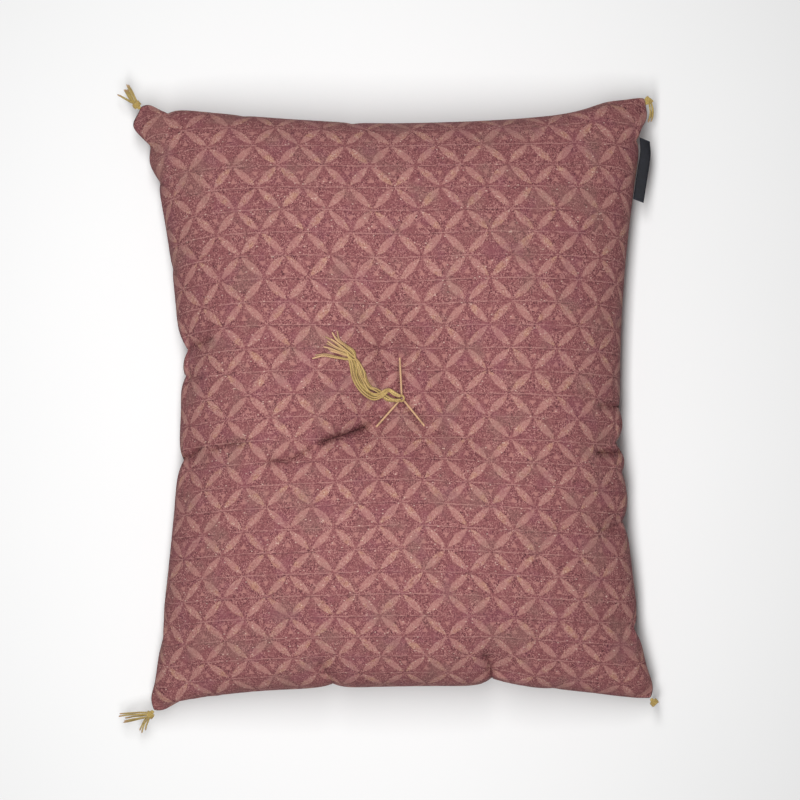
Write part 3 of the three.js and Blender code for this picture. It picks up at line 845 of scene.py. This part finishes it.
def cover_material():
    """A jacquard linen: petals woven in a paler yarn, small triangles, and lines where the rows change."""
    g = Graph("cover_jacquard")
    cloth, (_, along, _) = g.attribute("cloth")
    pick = g.vector("SNAP", cloth, PICK)
    px, py, _ = g.node("SeparateXYZ", pick).outputs
    ragged = g.math("MULTIPLY_ADD", g.noise(cloth, 1.6, 1.0), RAGGED_BY, -RAGGED_BY / 2)
    x = g.math("ADD", g.math("SUBTRACT", px, PATTERN_AT[0]), ragged)
    stretch = REPEAT / REPEAT_ALONG
    y = g.math("MULTIPLY_ADD", py, stretch, -PATTERN_AT[1] * stretch)
    petals = petal_mask(g, x, y)
    line, dark_line = row_lines(g, cloth, along)

    thread = g.white(pick)
    second = g.white(g.vector("ADD", g.vector("SNAP", cloth, SECOND_PICK), SECOND_SHIFT))
    slub = g.noise(g.vector("MULTIPLY", cloth, SLUB_ACROSS), 1.5, 2.0)
    down = g.noise(g.vector("MULTIPLY", cloth, SLUB_ALONG), 1.5, 2.0)
    flecks = g.total((thread, second, slub, down), FLECK_SHARES)
    patch = g.noise(cloth, 13.0, 3.0, 0.6)
    lively = g.ramp(patch, 0.38, 0.58, 0.55)
    light = g.math("MULTIPLY", g.ramp(flecks, 0.66, 1.10), lively)
    deep = g.math("MULTIPLY", g.ramp(flecks, 0.66, 0.22), lively)

    ground = g.blend(light, GROUND, GROUND_LIGHT)
    ground = g.blend(deep, ground, GROUND_DEEP)
    ground = g.tint(ground, dark_line, 0.4, GROUND_DEEP)
    ground = g.blend(triangle_mask(g, x, y), ground, PETAL)
    ground = g.tint(ground, line, 0.62, LINE)
    flowers = g.blend(g.ramp(patch, 0.50, 0.68), PETAL, PETAL_WARM)
    flowers = g.tint(flowers, light, 0.42, SLUB)
    flowers = g.tint(flowers, deep, 0.7, PETAL_DARK)
    woven = g.blend(petals, ground, flowers)
    grey = g.noise(cloth, 34.0, 3.0)
    woven = g.blend(g.ramp(grey, 0.50, 0.68, 0.0, 0.28), woven, GREY_TINT)
    purple = g.noise(g.vector("ADD", cloth, PURPLE_SHIFT), 24.0, 3.0)
    woven = g.blend(g.ramp(purple, 0.50, 0.68, 0.0, 0.24), woven, PURPLE_TINT)
    rare = g.ramp(g.white(g.vector("SNAP", cloth, RARE_CELL)), 0.994, 0.997)
    relief = g.total((thread, petals, line, slub, down), WEAVE_HEIGHTS)
    return g.finish(
        Base_Color=g.tint(woven, rare, 0.6, SLUB),
        Roughness=g.math("MULTIPLY_ADD", petals, -0.08, 0.93),
        Normal=g.bump(relief, 0.8),
        Specular_IOR_Level=0.25,
    )


class Yarn:
    """Twisted threads gathered into one mesh."""

    def __init__(self):
        self.points, self.faces, self.marks, self.fibres = [], [], [], []

    def add(self, controls, radius=THREAD_RADIUS, turn=0.0, pale=0.0, shade=0.0):
        """Adds a thread along a smooth path, as rings of points with a point at each end."""
        path = smooth_path(controls, THREAD_STEP)
        last = len(path) - 1
        first = sum(len(points) for points in self.points)
        rings, grooves = self.rings(path, radius, turn)
        self.points.append(np.concatenate(rings + [path[:1], path[-1:]]))
        self.join(first, last)
        shares = np.concatenate([np.repeat(np.arange(last + 1) / last, RING), [0, 1]])
        whole = np.ones(len(shares))
        # The third mark is the share of painted shade, for strands that lie under others.
        self.marks.append(np.stack([shares, whole * pale, whole * shade], axis=1))
        # The groove mark drives painted shade in the plies' grooves.
        self.fibres.append(np.stack([np.concatenate([*grooves, [0, 0]]), whole * turn, whole], axis=1))

    def rings(self, path, radius, turn):
        """A ring of points at each step, drawn in at the plies' grooves, which wind round the thread."""
        last = len(path) - 1
        tangents = np.gradient(path, axis=0)
        tangents /= np.linalg.norm(tangents, axis=1, keepdims=True)
        upright = abs(tangents[0][2]) >= UPRIGHT
        normal = np.cross(tangents[0], (1, 0, 0) if upright else (0, 0, 1))
        angles = np.arange(RING) * 2 * math.pi / RING
        rings, grooves = [], []
        for i, (point, tangent) in enumerate(zip(path, tangents)):
            normal = normal - tangent * (normal @ tangent)
            normal /= np.linalg.norm(normal)
            side = np.cross(tangent, normal)
            twist = turn + 2 * math.pi * i * THREAD_STEP / PLY_PITCH
            groove = (1 - np.cos(PLIES * (angles - twist))) / 2
            shape = 1 - PLY_DEPTH * groove
            end = min(1.0, END_SHARE + END_GROWTH * min(i, last - i))
            ring = np.outer(np.cos(angles), normal) + np.outer(np.sin(angles), side)
            rings.append(point + ring * (shape * radius * end)[:, None])
            grooves.append(groove)
        return rings, grooves

    def join(self, first, last):
        """Faces between the rings from a first point on, and over both ends."""
        around = np.arange(RING)
        following = (around + 1) % RING
        for i in range(last):
            here, there = first + i * RING, first + (i + 1) * RING
            self.faces += list(zip(here + around, here + following, there + following, there + around))
        outer = first + last * RING
        root, tip = outer + RING, outer + RING + 1
        self.faces += [(root, first + b, first + a) for a, b in zip(around, following)]
        self.faces += [(tip, outer + a, outer + b) for a, b in zip(around, following)]

    def piece(self, name, material):
        attributes = {"strand": np.concatenate(self.marks), "fibre": np.concatenate(self.fibres)}
        made = mesh_object(name, np.concatenate(self.points), self.faces, **attributes)
        return dressed(made, material)


def thread_material():
    """Mercerised cotton: olive gold, paler towards the cut ends, with a painted pinkish reflection on the
    taut stitch and painted shade in the plies' grooves and on strands that lie under others.
    """
    g = Graph("thread_cotton")
    _, (share, pale, shade) = g.attribute("strand")
    _, (groove, _, _) = g.attribute("fibre")
    place = g.node("TexCoord").outputs["Object"]
    fine = g.noise(place, 0.0011, 3.0, 0.7)
    tinted = g.total((fine, g.noise(place, 0.009, 2.0)), TINT_SHARES)
    yarn = g.blend(g.ramp(tinted, 0.3, 0.8), THREAD_DARK, THREAD_LIGHT)
    yarn = g.tint(yarn, g.ramp(share, 0.72, 1.0), 0.75, THREAD_PALE)
    # The pale mark is a strand's random paleness, and on the stitch's arms a painted pinkish reflection.
    yarn = g.blend(pale, yarn, THREAD_PALE)
    # Painted shade: the plies' grooves are turned towards the painted shade colour.
    yarn = g.tint(yarn, groove, 0.45, THREAD_PAINTED_SHADE)
    return g.finish(
        # Painted shade on the strands that lie under others.
        Base_Color=g.blend(shade, yarn, THREAD_PAINTED_SHADE),
        Roughness=0.62,
        Normal=g.bump(g.math("MULTIPLY", fine, 0.25), 0.7),
        Specular_IOR_Level=0.35,
        Sheen_Weight=0.2,
        Sheen_Roughness=0.5,
    )


class Crown:
    """The top of the finished cushion, for what lies on it."""

    def __init__(self, piece):
        mesh = piece.data
        mesh.calc_loop_triangles()
        corners = rows(mesh.loop_triangles, "vertices", kind=np.int32)
        self.tree = BVHTree.FromPolygons(mesh_points(mesh).tolist(), corners.tolist())

    def height(self, x, y, reach=0.0):
        spots = [(0, 0), (reach, 0), (-reach, 0), (0, reach), (0, -reach)][: 5 if reach else 1]
        hits = [self.tree.ray_cast((x + dx, y + dy, ABOVE_ALL), (0, 0, -1))[0] for dx, dy in spots]
        return max((hit.z for hit in hits if hit), default=0.0)

    def at_pixel(self, column, row):
        """The plan point that shows at a pixel of the photograph: on the crown, or level with the seam."""
        eye = Vector((*VIEW_MIDDLE, VIEW_HEIGHT))
        half = VIEW_SIZE / 2
        way = Vector(((column - half) / VIEW_FOCAL, (half - row) / VIEW_FOCAL, -1))
        place = self.tree.ray_cast(eye, way)[0] or eye + way * (VIEW_HEIGHT - SEAM_MIDDLE)
        return np.array((place.x, place.y))

    def resting(self, x, y, lift=0.0):
        """The middle of a thread that rests on the crown at a point of the plan, or lifted off it."""
        return x, y, self.height(x, y, THREAD_RADIUS) + THREAD_RADIUS + lift


def strand_to_neck(crown, rng, route, lane, upper, over):
    """One strand's points along its bundle, with a rise over the other one, and its neck in pixels."""
    places = np.array([place for *place, _ in route])
    ways = np.gradient(places, axis=0)
    ways /= np.linalg.norm(ways, axis=1, keepdims=True)
    across = np.stack([-ways[:, 1], ways[:, 0]], axis=1)
    controls = []
    for i, (*_, half) in enumerate(route):
        wander = rng.uniform(-STRAND_WANDER, STRAND_WANDER) * (0 < i < len(route) - 1)
        lift = TASSEL_LIFT * max(0, 1 - i / LIFTED_STATIONS)
        lift += TASSEL_LAYER * upper + rng.uniform(*LOOSE_IN_BUNDLE)
        if OVER_SPAN[0] <= i < OVER_SPAN[1]:
            lift += over
        pixel = places[i] + across[i] * (lane * (half - STRAND_INSET) + wander)
        controls.append(crown.resting(*crown.at_pixel(*pixel), lift))
    return controls, places[-1] + across[-1] * lane * half


def strand_to_tip(crown, rng, neck, tip, bows, upper):
    """One strand's points from the neck to its tip, in a bow to the right of a straight line."""
    right = np.array((neck[1] - tip[1], tip[0] - neck[0]))
    right = right / np.linalg.norm(right)
    controls = []
    for share, bow in ((0.25, bows[0]), (0.5, sum(bows) / 2), (0.75, bows[1]), (1.0, 0.0)):
        lift = TASSEL_LAYER * upper * (1 - share) + rng.uniform(*LOOSE_IN_FAN)
        pixel = lerp(neck, tip, share) + right * bow
        controls.append(crown.resting(*crown.at_pixel(*pixel), lift))
    return controls


def neck_loop(crown, yarn):
    """The loop that holds both bundles at the knot."""
    knot = crown.at_pixel(*TASSEL_KNOT)
    middle = np.array((*knot, crown.height(*knot) + TASSEL_LIFT + LOOP_LIFT))
    angles = np.radians(np.arange(*LOOP_ANGLES))
    length, width, rise = LOOP_SIZE
    loop = [(length * math.cos(a), width * math.sin(a), rise * math.cos(a)) for a in angles]
    end_x, end_y, end_z = LOOP_END
    loop = [(end_x, -end_y, end_z), *loop, LOOP_END]
    yarn.add(middle + np.array(loop), radius=LOOP_RADIUS, pale=0.2)


def tassel(crown, material):
    """Twelve strands in two bundles that cross, run side by side to a neck and fan out past it."""
    yarn = Yarn()
    rng = np.random.default_rng(TASSEL_SEED)
    for route, tips, first_upper, over in BUNDLES:
        for index, (column, row, *bows) in enumerate(tips):
            lane = 2 * index / (len(tips) - 1) - 1
            upper = int(index % 2 == first_upper)
            controls, neck = strand_to_neck(crown, rng, route, lane, upper, over)
            controls += strand_to_tip(crown, rng, neck, np.array((column, row)), bows, upper)
            # Strands of the lower layer get painted shade.
            shade = 0.0 if upper else LOWER_PAINTED_SHADE
            yarn.add(controls, turn=rng.uniform(0, 2), pale=rng.uniform(0, 0.3), shade=shade)
    neck_loop(crown, yarn)
    return yarn.piece("centre_tassel_threads", material)


def stitch(crown, material):
    """Three taut arms that run from the knot to where the thread goes down into the cushion."""
    yarn = Yarn()
    centre = np.array(TIE)
    middle = crown.height(*TIE) + ARM_LIFT
    out, down = ARM_DIVE
    for heading, length in ARMS:
        end = arm_end(heading, length)
        controls = []
        for share in np.linspace(*ARM_SHARES):
            x, y, rest = crown.resting(*lerp(centre, end, share))
            controls.append((x, y, max(rest, lerp(middle, rest, min(1, ARM_RESTS * share)))))
        x, y = end + (end - centre) / length * out
        controls.append((x, y, crown.height(x, y) - down))
        # The arms get a painted pinkish reflection.
        yarn.add(controls, radius=THREAD_RADIUS * ARM_THICKNESS, pale=ARM_PAINTED_REFLECTION, turn=heading)
    return yarn.piece("centre_stitch_threads", material)


def tuft_strands(yarn, rng, centre, strands, heading, turn, dip, droop, length, fan):
    """Cut strands in two layers of lanes, from the knot outwards and down."""
    lanes = math.ceil(strands / 2)
    aside = math.radians(heading + 90)
    for index in range(strands):
        layer, place = divmod(index, lanes)
        inside = lanes if layer == 0 else strands - lanes
        lane = place - (inside - 1) / 2
        reach = length * (1 - TUFT_UNEVEN * ((index * 2) % 3))
        spot = centre + np.array((math.cos(aside), math.sin(aside), 0)) * lane * LANE
        spot[2] += (layer - 0.5) * LAYER
        controls = [spot.copy()]
        for step in range(TUFT_STEPS):
            share = (step + 0.5) / TUFT_STEPS
            wander = rng.uniform(-TUFT_WANDER, TUFT_WANDER)
            way = math.radians(heading + turn * share + fan * lane + wander)
            down = math.radians(dip + droop * share - fan * (layer - 0.5))
            level = reach / TUFT_STEPS * math.cos(down)
            spot += (level * math.cos(way), level * math.sin(way), -reach / TUFT_STEPS * math.sin(down))
            controls.append(spot.copy())
        yarn.add(controls, turn=rng.uniform(0, 2))


def tuft_knot(yarn, centre, outward):
    """Wraps of thread round the strands, and two threads that come out of the cover."""
    side = np.array((-outward[1], outward[0], 0))
    along = np.array((*outward, 0))
    wide, high = KNOT_SHAPE
    angles = np.linspace(0, KNOT_TURNS * 2 * math.pi, KNOT_TURNS * KNOT_POINTS)
    wraps = []
    for angle in angles:
        drift = (angle / angles[-1] - 0.5) * KNOT_LENGTH
        around = KNOT_RADIUS * (side * math.cos(angle) * wide + np.array((0, 0, math.sin(angle) * high)))
        wraps.append(centre + along * drift + around)
    yarn.add(wraps, radius=KNOT_THREAD)
    inward, onward = ROOT_RUN
    for offset in (-ROOT_APART, ROOT_APART):
        root = centre - along * inward + side * offset * ROOT_CLOSER
        lane = centre + side * offset
        yarn.add([root, lane, lane + along * onward], radius=ROOT_THREAD)


def tuft(corner, material):
    """A few threads drawn through the corner, wrapped in a knot and cut off."""
    yarn = Yarn()
    rng = np.random.default_rng(sum(map(ord, corner)))
    u, v = float("right" in corner), float("top" in corner)
    tip = plan_points(np.array(u), np.array(v))
    outward = tip / np.linalg.norm(tip)
    centre = np.array((*(tip + outward * KNOT_OUT), float(seam_height(u, v))))
    for which, *sizes in TUFTS:
        if which == corner:
            tuft_strands(yarn, rng, centre, *sizes)
    tuft_knot(yarn, centre, outward)
    return yarn.piece(f"corner_tuft_{corner}_threads", material)


def tab_section(out):
    """Half the folded ribbon's opening at a distance out from the seam."""
    share = np.clip(out / TAB_REACH, 0, 1)
    return TAB_LOFT * np.sqrt(np.maximum(0, 1 - share**TAB_SQUARE))


def tab_faces(rim):
    """Faces of the ribbon's outer and inner skin, of its sewn edges and of its two ends."""
    faces = []
    for row in range(TAB_CELLS):
        a, b = row * 2 * rim, (row + 1) * 2 * rim
        for k in range(rim - 1):
            faces.append((a + k, b + k, b + k + 1, a + k + 1))
            inner = rim + k
            faces.append((a + inner, a + inner + 1, b + inner + 1, b + inner))
        for k in (0, rim - 1):
            quad = (a + k, a + rim + k, b + rim + k, b + k)
            faces.append(quad if k == 0 else quad[::-1])
    for row in (0, TAB_CELLS):
        a = row * 2 * rim
        for k in range(rim - 1):
            quad = (a + k, a + k + 1, a + rim + k + 1, a + rim + k)
            faces.append(quad if row == 0 else quad[::-1])
    return faces


def tab(material):
    """A woven ribbon folded in two, caught in the side seam by its ends."""
    length = side_length("right")
    along = np.linspace(TAB_FROM, TAB_TO, TAB_CELLS + 1)
    edge = plan_points(np.ones(TAB_CELLS + 1), along / length + 0.5)
    run = (edge[-1] - edge[0]) / np.linalg.norm(edge[-1] - edge[0])
    outward = np.array((run[1], -run[0]))
    height = float(seam_height(1.0, (TAB_FROM + TAB_TO) / 2 / length + 0.5))
    outs = TAB_REACH * np.sin(np.linspace(0, 1, TAB_SECTION // 2 + 1) * math.pi / 2)
    profile = [(out, tab_section(out)) for out in outs[:-1]] + [(TAB_REACH, 0.0)]
    profile += [(out, -level) for out, level in profile[-2::-1]]
    thin = [(max(out - TAB_CLOTH, 0), level * TAB_INNER) for out, level in profile]
    points, marks = [], []
    for start, share in zip(edge, np.linspace(0, 1, TAB_CELLS + 1)):
        curl = sum(size * math.sin(share * turn) for size, turn in TAB_CURLS)
        for loop, skin in ((profile, 1), (thin, 0)):
            for out, level in loop:
                slant = -TAB_SLANT * out / TAB_REACH
                place = start + outward * (TAB_GAP + out) + run * slant
                points.append((*place, height + level + curl * (out / TAB_REACH) ** 2))
                marks.append((share * (TAB_TO - TAB_FROM), out, skin))
    piece = mesh_object("label_ribbon", points, tab_faces(len(profile)), ribbon=marks)
    return dressed(piece, material)


def tab_material():
    """Dark blue satin ribbon: fine ribs across, a thicker selvedge at both ends."""
    g = Graph("tab_satin")
    mark, (along, _, _) = g.attribute("ribbon")
    middle = (TAB_TO - TAB_FROM) / 2
    rib = g.math("SINE", g.math("MULTIPLY", along, 2 * math.pi / TAB_RIB))
    pick = g.white(g.vector("SNAP", mark, TAB_PICK))
    fuzz = g.noise(mark, 3.0, 3.0)
    from_middle = g.math("ABSOLUTE", g.math("SUBTRACT", along, middle))
    selvedge = g.ramp(from_middle, *[middle - inside for inside in TAB_SELVEDGE])
    tint = g.blend(g.ramp(g.math("ADD", pick, fuzz), 0.6, 1.6), TAB_DARK, TAB_LIGHT)
    return g.finish(
        Base_Color=g.tint(tint, selvedge, 0.5, TAB_EDGE),
        Roughness=0.5,
        Normal=g.bump(g.total((rib, pick, selvedge), TAB_HEIGHTS), 0.8),
        Specular_IOR_Level=0.25,
        Sheen_Weight=0.1,
        Sheen_Roughness=0.4,
    )


def vectors(mesh, name):
    return rows(mesh.attributes[name].data, "vector")


def dressed(piece, material):
    piece.data.materials.append(material)
    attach(piece, "root")
    return piece


def subdivide(piece):
    modifier = piece.modifiers.new("smooth", "SUBSURF")
    modifier.levels = modifier.render_levels = 1
    bpy.context.view_layer.objects.active = piece
    piece.select_set(True)
    bpy.ops.object.modifier_apply(modifier=modifier.name)
    piece.select_set(False)


def crisp_tucks(mesh, tucked):
    """Leaves the faces at a tuck flat, so that its walls catch the light."""
    corners = rows(mesh.loops, "vertex_index", 1, np.int32).reshape(-1, 4)
    mesh.polygons.foreach_set("use_smooth", ~tucked[corners].any(axis=1))
    mesh.update()


def cushion(material):
    """Both panels of the cover, filled and settled, with one subdivision, the cusps and the fine creases."""
    points, faces, cloth, shares = sewn_panels()
    points = settle_cloth(points, faces, cloth)
    weave = np.concatenate([drifted(cloth[:, :2]), cloth[:, 2:]], axis=1)
    piece = mesh_object("cushion_cover", points, faces, cloth=weave, shares=shares)
    subdivide(piece)
    mesh = piece.data
    finished = press_cusps(mesh_points(mesh), vectors(mesh, "shares"))
    finished, tucked = press_creases(finished, vectors(mesh, "cloth"), Crown(piece))
    finished[:, 2] = np.maximum(finished[:, 2], 0)
    mesh.vertices.foreach_set("co", ((finished + PLAN_SHIFT) * MM).astype(np.float32).ravel())
    crisp_tucks(mesh, tucked)
    return dressed(piece, material)


def floor():
    mesh = bpy.data.meshes.new("studio_floor")
    corners = [(-1, -1, 0), (1, -1, 0), (1, 1, 0), (-1, 1, 0)]
    mesh.from_pydata((np.array(corners) * FLOOR_HALF).tolist(), [], [(0, 1, 2, 3)])
    g = Graph("studio_paper")
    grain = g.noise(g.node("TexCoord").outputs["Object"], 0.4, 2.0)
    paper = g.blend(grain, PAPER_DARK, PAPER_LIGHT)
    mesh.materials.append(g.finish(Base_Color=paper, Roughness=0.9, Specular_IOR_Level=0.1))
    return placed("studio_floor", mesh)


def camera():
    data = bpy.data.cameras.new("view_from_above")
    data.sensor_width = SENSOR
    data.lens = VIEW_FOCAL / VIEW_SIZE * SENSOR
    data.clip_start, data.clip_end = VIEW_CLIP
    piece = placed("view_from_above", data)
    piece.location = (np.array((*VIEW_MIDDLE, VIEW_HEIGHT)) + PLAN_SHIFT) * MM
    bpy.context.scene.camera = piece


def soft_box():
    data = bpy.data.lights.new("strip_above", "AREA")
    data.shape = "RECTANGLE"
    data.size, data.size_y = BOX_SIZE
    data.energy = BOX_POWER
    piece = placed("strip_above", data)
    piece.location = BOX_PLACE
    piece.visible_camera = False


def surroundings():
    world = bpy.data.worlds.new("studio")
    world.use_nodes = True
    background = world.node_tree.nodes["Background"]
    background.inputs["Color"].default_value = (1, 1, 1, 1)
    background.inputs["Strength"].default_value = AMBIENT
    bpy.context.scene.world = world


def plan_shift():
    """From the plan frame to the row frame: the cushion's box has to be where the frame has it."""
    low, high = (np.array(corner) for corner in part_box("cushion"))
    share = np.linspace(0, 1, OUTLINE_SAMPLES)
    ends = np.zeros_like(share), np.ones_like(share)
    outline = [plan_points(share, end) for end in ends] + [plan_points(end, share) for end in ends]
    outline = np.concatenate(outline)
    middle = (outline.min(axis=0) + outline.max(axis=0)) / 2
    return np.array((*((low + high)[:2] / 2 / MM - middle), 0))


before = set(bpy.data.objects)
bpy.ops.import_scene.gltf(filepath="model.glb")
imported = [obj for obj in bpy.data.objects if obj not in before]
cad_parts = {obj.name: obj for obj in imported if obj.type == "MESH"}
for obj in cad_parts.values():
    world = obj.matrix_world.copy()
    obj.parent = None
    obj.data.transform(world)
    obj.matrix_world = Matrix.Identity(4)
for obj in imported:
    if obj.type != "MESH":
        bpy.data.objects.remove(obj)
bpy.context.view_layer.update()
PLAN_SHIFT = plan_shift()
camera()
soft_box()
surroundings()
floor()

cover = cushion(cover_material())
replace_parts(cover, "cushion")

crown = Crown(cover)
cotton = thread_material()
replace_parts(stitch(crown, cotton), "centre_stitch")
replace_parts(tassel(crown, cotton), "centre_tassel")
for corner in CORNERS:
    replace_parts(tuft(corner, cotton), f"corner_tuft_{corner}")

ribbon = tab(tab_material())
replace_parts(ribbon, "label")

bpy.context.scene.view_settings.view_transform = "Standard"
